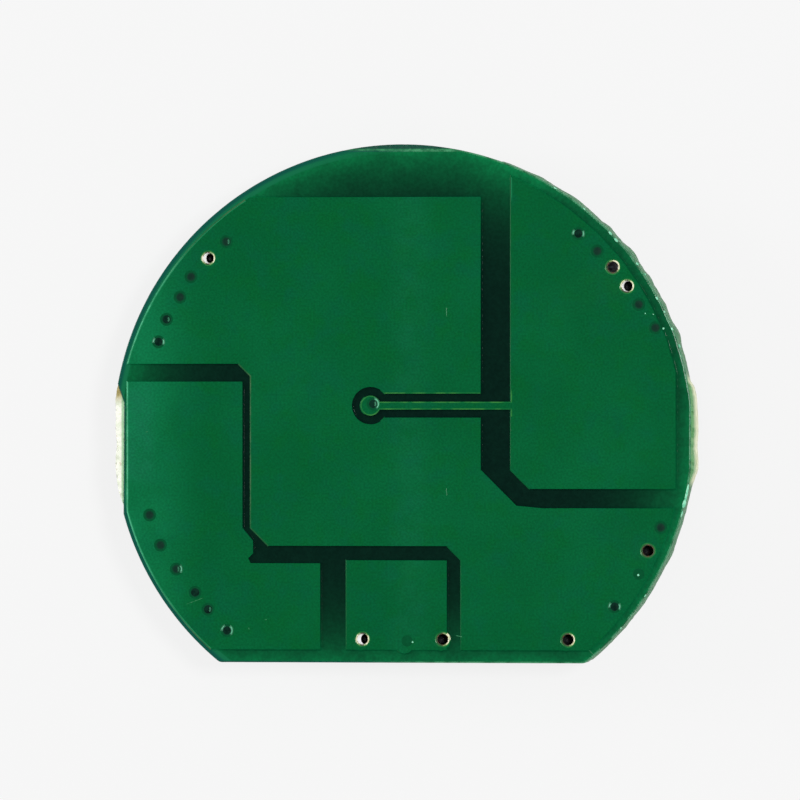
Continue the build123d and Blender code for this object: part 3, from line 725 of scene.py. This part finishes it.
def makeLaminate():
    board = outlineOf("laminate", laminateTop)
    loops = [offsetLoop(board, -d) if d else board for d in rimShape["rings"]]
    drilled = [circle(c, holeSize["drilled"], holeSize["sides"]) for c in viaCentres]
    xy, faces = flatSheet(loops + drilled)
    middles = np.array([xy[list(f)].mean(0) for f in faces])
    inBoard = insideLoops(middles, [board] + drilled)
    faces = [tuple(f) for f, keep in zip(faces, inBoard) if keep]
    toEdge = distanceTo(xy, [board])
    top = [laminateTop - raggedDrop(x, y, far) for (x, y), far in zip(xy, toEdge)]
    count, rows = len(xy), rimShape["rows"]
    verts = [roughRim(x, y, 0) + (z,) for (x, y), z in zip(xy, top)]
    verts += [roughRim(x, y, 1) + (laminateBottom,) for x, y in xy]
    allFaces = faces + [tuple(count + i for i in f[::-1]) for f in faces]
    free = freeEdges(faces)
    columns = {}      # the wall's points under each free point of the top
    for a in {i for pair in free for i in pair}:
        x, y = xy[a]
        columns[a] = [a]
        for r in range(1, rows):
            depth = r / rows
            columns[a].append(len(verts))
            spot = roughRim(x, y, depth) if toEdge[a] < 0.01 else (x, y)
            verts.append(spot + (top[a] + (laminateBottom - top[a]) * depth,))
        columns[a].append(count + a)
    for a, b in free:
        for r in range(rows):
            allFaces.append((columns[b][r], columns[a][r], columns[a][r + 1], columns[b][r + 1]))
    mesh = meshFrom("laminateBoard", verts, allFaces)
    return addPiece("laminateBoard", mesh, [makeLaminateFinish()], ["laminate"], 50)


laminateBoard = makeLaminate()
print("laminate made:", len(laminateBoard.data.polygons), "faces")


# solder mask of both sides, a thin skin that steps up over the copper

skinShape = {
    "shoulder": [0.085, 0.07, 0.045, 0.02, 0.0, -0.02, -0.05],      # lines along the copper's edge
    "step": 0.3,
    "riseFrom": 0.07,
    "riseWidth": 0.075,
    "rimLines": [0.015, 0.04, 0.08, 0.13],
    "rimRound": 0.08,
    "rimDrop": 0.028,
    "rimCorner": 0.06,
    # the pale band along a left-facing edge is a painted highlight
    "corner": (-0.045, 0.02, 0.07),      # outer line, middle and inner line of a left-facing edge's pale band
    "softRadius": 11.6,
    "ringRadius": 0.305,
    "ringRound": 0.045,
    "ringDrop": 0.014,
    "thinRadius": 0.35,
}
senseTrack = {"from": -1.95, "to": 5.2, "y": 1.4, "reach": 0.55, "edge": 0.05}
# profile of a resin-filled hole, as (radius, height), from the mask's top down into its dimple
dimpleProfile = [(0.36, 0), (0.33, 0), (0.29, -0.004), (0.25, -0.011), (0.215, -0.018), (0.18, -0.021),
                 (0.14, -0.019), (0.07, -0.012), (0, -0.010)]
faintShare = 0.3      # depth of a faint dimple, as a share of the others
# the look of a dimple: its middle, the middle's radius, bright sides painted as glints as (angle, half
# width), a painted shine
dimpleLooks = {
    "dim": ("resinDim", 0.14, [], False),
    "shine": ("resinDim", 0.14, [], True),
    "dark": ("resinDark", 0.18, [], False),
    "darkShine": ("resinDark", 0.18, [], True),
    "glints": ("resinDark", 0.18, [(0, 26), (162, 20)], False),
    "right": ("resinDim", 0.14, [(4, 34)], True),
    "both": ("resinDark", 0.18, [(2, 44), (150, 26)], False),
    "arc": ("resinDark", 0.18, [(12, 62)], True),
    "faint": ("resinEdge", 0.25, [], False),
}
# where the resin's dimples lie, in millimetres
dimples = [
    (-7.874, 8.677, "shine"), (-9.471, 7.114, "dim"), (-9.960, 6.206, "dim"), (-10.574, 5.213, "darkShine"),
    (-10.933, 4.211, "glints"), (-1.267, 1.437, "arc"), (7.916, 9.002, "glints"), (8.759, 8.227, "dim"),
    (10.612, 5.850, "dim"), (11.352, 4.817, "dim"), (-11.336, -3.527, "dim"), (-10.847, -4.872, "dim"),
    (-10.130, -5.940, "right"), (-9.282, -6.978, "dark"), (-8.703, -7.735, "darkShine"),
    (-7.847, -8.674, "both"), (0.254, -9.119, "faint"), (11.589, -4.043, "dim"),
    (10.611, -6.114, "faint"), (9.530, -7.565, "glints"),
]


def fromMiddle(points, centre):
    # radius and angle in degrees of each point as seen from a centre
    dx, dy = (points - np.array(centre[:2])).T
    return np.hypot(dx, dy), np.degrees(np.arctan2(dy, dx))


def depthIn(points, loops):
    # distance from the lines, positive inside
    return distanceTo(points, loops) * np.where(insideLoops(points, loops), 1, -1)


def isLeftFacing(points, loops, reach=0.02):
    # True where the copper lies to the right of its nearest edge
    step = np.array([reach, 0])
    return depthIn(points + step, loops) - depthIn(points - step, loops) > 1.1 * reach


def paintTrackSide(slots, middles, outline, copper):
    depth = depthIn(middles, copper)
    x, y = middles.T
    outer, inner, deepest = skinShape["corner"]
    slots[(depth > -skinShape["riseWidth"]) & (depth < 0)] = skinSlot["shoulderMask"]
    slots[(depth >= 0) & (depth < inner)] = skinSlot["shoulderCopper"]
    # left-facing copper edges get the pale band, a painted highlight from the lamp on the left, softer near
    # the rim
    corner = (depth > outer) & (depth < deepest)
    corner[corner] = isLeftFacing(middles[corner], copper)
    slots[corner & (depth < inner)] = skinSlot["cornerMask"]
    nearRim = np.hypot(x, y) > skinShape["softRadius"]
    slots[corner & (depth >= inner) & nearRim] = skinSlot["softCorner"]
    slots[distanceTo(middles, [outline]) < skinShape["rimCorner"]] = skinSlot["rimCorner"]
    onTrack = (depth > 0) & (depth < senseTrack["edge"]) & (x > senseTrack["from"])
    onTrack &= (x < senseTrack["to"]) & (abs(y - senseTrack["y"]) < senseTrack["reach"])
    slots[onTrack] = skinSlot["trackEdge"]
    for c in openCentres:
        slots[fromMiddle(middles, c)[0] < skinShape["thinRadius"]] = skinSlot["thinMask"]


def paintDimple(slots, middles, hole):
    middle, middleRadius, sides, shine = dimpleLooks[hole[2]]
    r, angle = fromMiddle(middles, hole)
    faint = middle == "resinEdge"
    slots[r < 0.29] = skinSlot["maskOverCopper" if faint else "resinEdge"]
    slots[r < 0.25] = skinSlot["resinEdge"]
    if not faint:
        slots[r < 0.20] = skinSlot["resinMid"]
    slots[r < middleRadius] = skinSlot[middle]
    # the shine and the bright sides are painted highlights of the lamps
    if shine:
        slots[(r > 0.07) & (r < 0.14) & (abs(angle) < 50)] = skinSlot["resinShine"]
    for towards, width in sides:
        away = abs((angle - towards + 180) % 360 - 180)
        slots[(r > 0.18) & (r < 0.29) & (away < width + 8)] = skinSlot["resinShine"]
        slots[(r > 0.215) & (r < 0.25) & (away < width - 4)] = skinSlot["glintMask"]


def makeSkin(name, node, outline, copper, openings, holes, levels, side):
    # levels are the skin's heights over copper and laminate; side is 1 for the top, -1 underneath
    overCopper, overLaminate = levels
    loops = [outline] + [offsetLoop(outline, -d) for d in skinShape["rimLines"]]
    for loop in copper:
        loops += [offsetLoop(loop, d) for d in skinShape["shoulder"]]
    for loop in openings:
        loops += [loop, offsetLoop(loop, 0.02), offsetLoop(loop, skinShape["ringRound"])]
    for c in holes:
        loops += [circle(c, r, holeSize["sides"]) for r, _ in dimpleProfile[:-1]]
    xy, faces = flatSheet(loops, [c[:2] for c in holes])
    middles = np.array([xy[list(f)].mean(0) for f in faces])
    keep = insideLoops(middles, [outline])
    for loop in openings:
        keep &= ~insideLoops(middles, [loop])
    faces = [tuple(f) for f, k in zip(faces, keep) if k]
    middles = middles[keep]

    rise = smooth((depthIn(xy, copper) + skinShape["riseFrom"]) / skinShape["riseWidth"])
    top = overLaminate + (overCopper - overLaminate) * rise
    toEdge = distanceTo(xy, [outline])
    top -= side * skinShape["rimDrop"] * np.clip(1 - toEdge / skinShape["rimRound"], 0, 1) ** 2
    if openings:
        toRing = distanceTo(xy, openings)
        top -= side * skinShape["ringDrop"] * np.clip(1 - toRing / skinShape["ringRound"], 0, 1) ** 2
    radii, heights = zip(*dimpleProfile[::-1])
    for c in holes:
        share = faintShare if c[2] == "faint" else 1
        top += side * share * np.interp(fromMiddle(xy, c)[0], radii, heights)

    bare = skinSlot["maskOverLaminate"]
    slots = np.where(insideLoops(middles, copper), skinSlot["maskOverCopper"], bare)
    if side > 0:
        paintTrackSide(slots, middles, outline, copper)
    for hole in holes:
        paintDimple(slots, middles, hole)
    bottom = top - side * boardSize["maskThickness"]
    if side < 0:
        faces = [f[::-1] for f in faces]
    mesh = thickSheet(name, xy, faces, top, bottom, [int(s) for s in slots], bare)
    for v in mesh.vertices:
        x, y = roughRim(v.co.x / mm, v.co.y / mm, 0 if side > 0 else 1)
        v.co.x, v.co.y = x * mm, y * mm
    return addPiece(name, mesh, skinFinishes, [node], 40)


artworkShift = (-0.09, -0.09)      # the copper is printed this much off the outline
rimGapRadius = boardSize["radius"] - 0.32


def makeTrackMask():
    outline = outlineOf("track_side_mask", laminateTop)
    copper = [refineLoop(loop, skinShape["step"], artworkShift, [rimGapRadius]) for loop in islandLoops]
    openings = [circle(c, skinShape["ringRadius"], 40) for c in openCentres]
    gap = laminateTop + boardSize["maskThickness"]
    return makeSkin("trackMask", "track_side_mask", outline, copper, openings, dimples,
                    (maskHigh.z, gap), 1)


trackMask = makeTrackMask()
print("track-side mask made:", len(trackMask.data.polygons), "faces")


def makePartMask():
    outline = outlineOf("part_side_mask", partMask)
    landNames = [name for name in nodes if name.endswith("_land") or name == "signal_tracks"]
    copper = [anticlockwise(loop) for name in landNames for loop in flatLoops(name, partCopper)
              if abs(loopArea(loop)) > smallArea]
    copper = [refineLoop(loop, skinShape["step"], (0, 0), []) for loop in copper]
    openings = [anticlockwise(loop) for loop in flatLoops("part_side_mask", partMask)
                if abs(loopArea(loop)) < boardArea]
    bare = laminateBottom - boardSize["maskThickness"]
    return makeSkin("partMask", "part_side_mask", outline, copper, openings, [], (partMask, bare), -1)


partSkin = makePartMask()
print("part-side mask made:", len(partSkin.data.polygons), "faces")


# plated holes and the resin in them

# metals and bare rings: two shades, roughness, width of a blotch, metallic
metals = {
    "ringBright": (colour(250, 250, 220), colour(222, 226, 176), 0.45, 0.2, 0.0),
    "ringDull": (colour(150, 176, 120), colour(120, 150, 92), 0.45, 0.2, 0.0),
    "ringShade": (colour(66, 92, 58), colour(48, 84, 46), 0.45, 0.2, 0.0),
    "wallTin": (colour(255, 255, 255), colour(252, 252, 248), 0.6, 0.3, 0.0),
    "wallDark": (colour(22, 17, 20), colour(36, 28, 30), 0.5, 0.3, 0.0),
    "solderMetal": (colour(222, 224, 226), colour(206, 209, 212), 0.4, 0.25, 0.6),
    "leadMetal": (colour(208, 209, 210), colour(190, 191, 193), 0.4, 0.2, 0.7),
    "copperFoil": (colour(206, 138, 100), colour(184, 116, 82), 0.35, 0.5, 1.0),
}
barrels = {
    "inner": 0.24,
    "flange": 0.35,
    "lip": 0.02,
    "ringTop": copperTop + 0.006,
    "buriedTop": copperTop - 0.14,
    "dullReach": 28,      # degrees from a ring's bright side to its shaded part
}
# bare rings: place, bright sides painted as lit as (angle, half width), how far solder climbs the hole's left
# wall, and how deep its floor lies
bareRings = [
    (-8.69, 7.94, [(0, 46), (185, 30)], 0.062, 0.7), (-1.75, -9.04, [(-12, 44), (180, 44)], 0.078, 0.7),
    (10.09, 6.66, [(5, 46), (150, 36)], 0.042, 0.7), (9.45, 7.52, [(38, 56)], 0, 0.12),
    (11.01, -5.06, [], 0, 0.7), (7.48, -9.04, [(0, 55)], 0, 0.7), (1.86, -9.04, [(0, 60)], 0, 0.7),
]
plug = {"radius": 0.245, "top": maskHigh.z - 0.075, "hollow": 0.03, "sides": 24}


def makeMetal(name):
    bright, dull, roughness, size, metallic = metals[name]
    s = Finish(name)
    base = s.mix(s.ramp(s.noise(size, 3), 0.35, 0.65), bright, dull)
    rough = s.ramp(s.noise(size * 1.6, 3), 0.3, 0.7, roughness * 0.7, roughness * 1.4)
    return s.done(base, rough, relief=(s.noise(size * 2, 3), 0.006), metallic=metallic)


barrelFinishes = [makeMetal(name) for name in list(metals)[:5]]
bright, dull, shade, tin, dark = range(5)      # their slots


def ringLook(centre):
    return next((look for x, y, *look in bareRings if math.dist(centre, (x, y)) < 0.4), ([], 0, 0.7))


def paintRing(mesh, centre, top, sides, climb):
    # the ring's painted lit side, its dull parts and its painted shade, and the solder on the hole's left
    # wall, painted white as lit
    for face in mesh.polygons:
        middle = face.center / mm
        angle = math.degrees(math.atan2(middle.y - centre[1], middle.x - centre[0]))
        level = middle.z - top
        if level > -0.014:
            away = min([abs((angle - a + 180) % 360 - 180) - w for a, w in sides] + [99])
            face.material_index = bright if away < 0 else dull if away < barrels["dullReach"] else shade
        elif climb and level > -0.10 and math.dist(centre, middle[:2]) < barrels["inner"] + 0.01:
            face.material_index = tin


def narrowHole(mesh, centre, top, climb):
    # solder that climbed the left side narrows the hole from there
    inner = barrels["inner"]
    for v in mesh.vertices:
        x, y = v.co.x / mm - centre[0], v.co.y / mm - centre[1]
        if v.co.z / mm < top - 0.1 and math.hypot(x, y) < inner + 0.001:
            v.co.x = (centre[0] + climb + x * (1 - climb / inner)) * mm
            v.co.y = (centre[1] + y * 0.92) * mm


def makeBarrels(node, name, centres):
    parts = []
    low, inner, outer = boxOf(node)[0].z, barrels["inner"], holeSize["drilled"]
    for c in centres:
        isOpen = c in openCentres
        top = barrels["ringTop"] if isOpen else barrels["buriedTop"]
        flange = barrels["flange"] if isOpen else outer
        sides, climb, _ = ringLook(c)
        profile = [(inner, low), (outer, low), (outer, top - 0.03), (flange, top - 0.03), (flange, top),
                   (inner + barrels["lip"], top), (inner, top - 0.02), (inner, top - 0.13), (inner, low)]
        # the inner wall below the lip is painted near black as the shade down in the hole
        mesh = spunMesh("barrel", c, profile, holeSize["sides"], [shade] * 6 + [dark] * 2)
        if isOpen:
            paintRing(mesh, c, top, sides, climb)
        if climb:
            narrowHole(mesh, c, top, climb)
        parts.append(mesh)
    return addPiece(name, joinMeshes(name, parts), barrelFinishes, [node], 40)


def centresIn(node, margin=0.1):
    low, high = boxOf(node)
    return [c for c in viaCentres if low.x - margin < c[0] < high.x + margin
            and low.y - margin < c[1] < high.y + margin]


taken = []
for node in ("sense_barrel", "mid_tap_barrels", "cell_negative_barrels", "pack_negative_barrels",
             "positive_barrels"):
    mine = [c for c in centresIn(node) if c not in taken]
    taken += mine
    makeBarrels(node, pieceName(node), mine)
print("plated holes made:", len(taken))


def makePlugs():
    low, r, top = boxOf("via_plugs")[0].z, plug["radius"], plug["top"]
    profile = [(0, low), (r, low), (r, top), (0, top - plug["hollow"])]
    parts = [spunMesh("plug", c, profile, plug["sides"]) for c in closedCentres]
    finish = bpy.data.materials["resinDim"]
    return addPiece("viaPlugs", joinMeshes("viaPlugs", parts), [finish], ["via_plugs"])


def makeHoleShadeFill():
    s = Finish("darkFill")
    base = s.mix(s.ramp(s.noise(0.12, 2), 0.5, 0.7), colour(16, 14, 18), colour(40, 44, 48))
    return s.done(base, 0.3, 0.4)


def makeHoleFloors():
    # what is seen at the bottom of an open hole: solder and flux from the part side, painted near black as
    # the shade down in the hole
    parts = []
    for c in openCentres:
        _, climb, depth = ringLook(c)
        level = copperTop - depth
        r = barrels["inner"] + 0.002 - climb
        profile = [(0, level - 0.1), (r, level - 0.1), (r, level + 0.03), (r * 0.8, level),
                   (0, level + 0.02)]
        parts.append(spunMesh("floor", (c[0] + climb, c[1]), profile, plug["sides"]))
    return addPiece("holeFloors", joinMeshes("holeFloors", parts), [makeHoleShadeFill()], None)


makePlugs()
makeHoleFloors()
print("resin and hole floors made")


# small marks on the mask: scuffs and scratches, and low beads along the routed rim painted pale as glints

scuffs = [      # x, y, length, width, angle in degrees
    (2.020, 5.529, 0.42, 0.035, 92), (2.020, -2.485, 0.36, 0.03, 95), (-11.48, 0.186, 0.10, 0.05, 40),
    (-6.098, -8.184, 0.10, 0.05, 10), (-6.861, -8.585, 0.10, 0.04, 120), (-9.282, -7.361, 0.85, 0.022, 21),
    (2.582, -8.897, 0.30, 0.04, -12), (8.500, -9.610, 0.32, 0.035, -45),
]
# mounds along the rim, coloured pale as painted glints of the key lamp
glintBeads = [      # angle round the rim, radius, height, length, width
    (44.0, 12.98, -0.02, 0.20, 0.10), (42.2, 12.96, -0.01, 0.22, 0.11), (36.0, 13.02, -0.10, 0.16, 0.09),
    (33.5, 13.03, -0.20, 0.12, 0.07), (28.2, 12.96, -0.01, 0.16, 0.10), (21.5, 12.99, -0.02, 0.15, 0.08),
    (17.9, 13.03, -0.20, 0.16, 0.10), (25.2, 12.98, -0.06, 0.12, 0.06), (-13.3, 12.98, -0.04, 0.40, 0.15),
    (-11.2, 12.99, -0.06, 0.85, 0.10), (-15.4, 12.99, -0.06, 0.30, 0.06), (-33.0, 12.99, -0.04, 0.14, 0.05),
    (-41.0, 12.99, -0.04, 0.12, 0.05), (58.0, 12.99, -0.03, 0.16, 0.06), (51.0, 12.99, -0.05, 0.14, 0.06),
]
# small pale dots: four are painted glints, the last a speck
dots = [      # x, y, width
    (10.90, 5.45, 0.06), (11.26, 5.41, 0.05), (11.71, 4.78, 0.09), (10.59, -6.16, 0.10),
    (0.50, -9.17, 0.08),
]


def softDot(middle, level, length, width, height, angle):
    # a low rounded mound, longer one way than the other
    profile = [(1.0, -0.4), (1.0, 0.0), (0.8, 0.6), (0.45, 0.9), (0, 1.0)]
    mesh = spunMesh("dot", (0, 0), profile, 14)
    turn = math.radians(angle)
    for v in mesh.vertices:
        x, y, z = v.co / mm
        x, y = x * length / 2, y * width / 2
        v.co = Vector((middle[0] + x * math.cos(turn) - y * math.sin(turn),
                       middle[1] + x * math.sin(turn) + y * math.cos(turn), level + z * height)) * mm
    return mesh


def makeMarks():
    marks = [softDot((x, y), maskHigh.z, length, width, 0.004, angle)
             for x, y, length, width, angle in scuffs]
    addPiece("scuffMarks", joinMeshes("scuffMarks", marks), [makeMaskTint("scuffedMask")], None)
    rim = []
    for angle, radius, level, length, width in glintBeads:
        turn = math.radians(angle)
        place = (radius * math.cos(turn), radius * math.sin(turn))
        rim.append(softDot(place, level, length, width, 0.03, angle + 90))
    rim += [softDot((x, y), maskHigh.z - 0.002, size, size, 0.012, 0) for x, y, size in dots]
    addPiece("inkBeads", joinMeshes("inkBeads", rim), [makeMaskTint("beadInk")], None)


makeMarks()
print("marks made")


# soldered parts: the frame's own shapes with softened edges

def softenedMesh(node, width, segments):
    mesh = nodes[node].data.copy()
    helper = bpy.data.objects.new("helper", mesh)
    bpy.context.scene.collection.objects.link(helper)
    weld = helper.modifiers.new("weld", "WELD")
    weld.merge_threshold = sameLevel * mm
    flat = helper.modifiers.new("flat", "DECIMATE")
    flat.decimate_type = "DISSOLVE"
    flat.angle_limit = math.radians(2)
    bevel = helper.modifiers.new("bevel", "BEVEL")
    bevel.width = width * mm
    bevel.segments = segments
    bevel.limit_method = "ANGLE"
    bevel.angle_limit = math.radians(15)
    bpy.context.view_layer.update()
    depsgraph = bpy.context.evaluated_depsgraph_get()
    shaped = bpy.data.meshes.new_from_object(helper.evaluated_get(depsgraph))
    bpy.data.objects.remove(helper)
    bpy.data.meshes.remove(mesh)
    shaped.materials.clear()
    return shaped


def makeMoulding():
    s = Finish("mouldingCompound")
    base = s.mix(s.noise(0.09, 4, 0.7), colour(30, 30, 32), colour(52, 52, 54))
    return s.done(base, s.ramp(s.noise(0.2, 3), 0.3, 0.7, 0.45, 0.62), relief=(s.noise(0.05, 3), 0.006))


def makeCeramic(name, base, other, roughness):
    s = Finish(name)
    return s.done(s.mix(s.noise(0.12, 4), base, other), roughness, relief=(s.noise(0.1, 3), 0.004))


solderMetal, leadMetal, copperFoil = (makeMetal(name) for name in ("solderMetal", "leadMetal", "copperFoil"))
mouldingCompound = makeMoulding()
resistorGlaze = makeCeramic("resistorGlaze", colour(22, 22, 24), colour(34, 34, 37), 0.25)
capacitorCeramic = makeCeramic("capacitorCeramic", colour(150, 118, 88), colour(130, 100, 74), 0.5)

softened = {      # words in a node's name: width of the edge's bevel, its segments, finish, slot
    "_transistor_body": (0.06, 2, mouldingCompound, "package"),
    "_chip_body": (0.04, 2, mouldingCompound, "package"),
    "_leads": (0.035, 2, leadMetal, "tinned_lead"),
    "_caps": (0.03, 2, leadMetal, "tinned_cap"),
    "_joints": (0.04, 2, solderMetal, "solder"),
    "_solder_coat": (0.05, 3, solderMetal, "solder"),
    "resistor_": (0.02, 2, resistorGlaze, "resistor_ceramic"),
    "capacitor_": (0.03, 2, capacitorCeramic, "capacitor_ceramic"),
}
for node in list(nodes):
    for key, (width, segments, material, slot) in softened.items():
        if key in node:
            addPiece(pieceName(node), softenedMesh(node, width, segments), [material], [node], 50)
            break
    else:
        if node.endswith(("_pour", "_land")) or node == "signal_tracks":
            nodes[node].data.materials.clear()
            nodes[node].data.materials.append(copperFoil)
print("soldered parts made")
